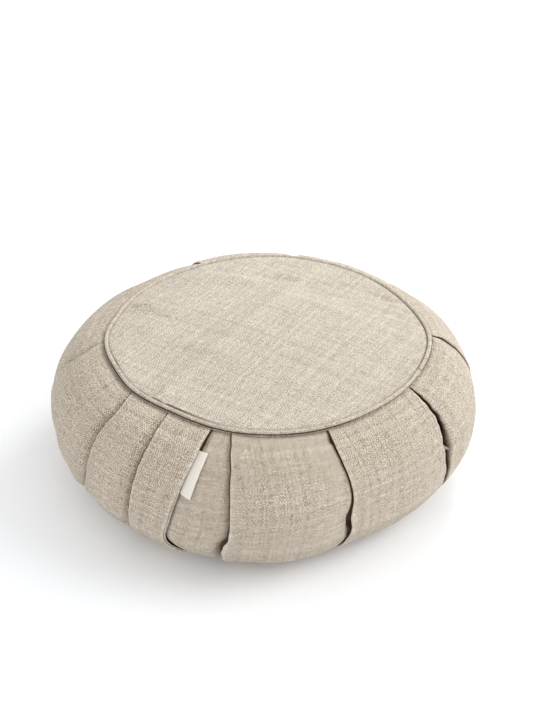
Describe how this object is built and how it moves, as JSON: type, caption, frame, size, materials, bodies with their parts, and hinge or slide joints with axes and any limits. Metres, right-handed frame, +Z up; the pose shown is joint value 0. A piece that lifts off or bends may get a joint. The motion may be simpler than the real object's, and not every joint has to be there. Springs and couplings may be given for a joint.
{
  "type": "zafu meditation cushion",
  "caption": "Round, low meditation cushion of plain linen cloth with a pleated side band, a piped seam above and below, a slightly crowned top and a blank folded tab in one pleat",
  "frame": {"origin": "the middle of the flat underside, on the surface that the cushion rests on", "axes": "+Z up through the top panel, -Y the front as the picture shows it, +X to the right of the front"},
  "size_m": [0.3825, 0.3819, 0.1323],
  "materials": {
    "linen": "natural plain-weave linen, matt, with slubs",
    "linen_piping": "natural linen cut on the bias over a cord, matt",
    "cotton_tape": "off-white woven cotton tape, matt, blank"
  },
  "bodies": {
    "root": {"filled_pleated_band": "linen", "top_panel": "linen", "bottom_panel": "linen", "top_piping": "linen_piping", "bottom_piping": "linen_piping", "side_tab": "cotton_tape"}
  },
  "joints": []
}
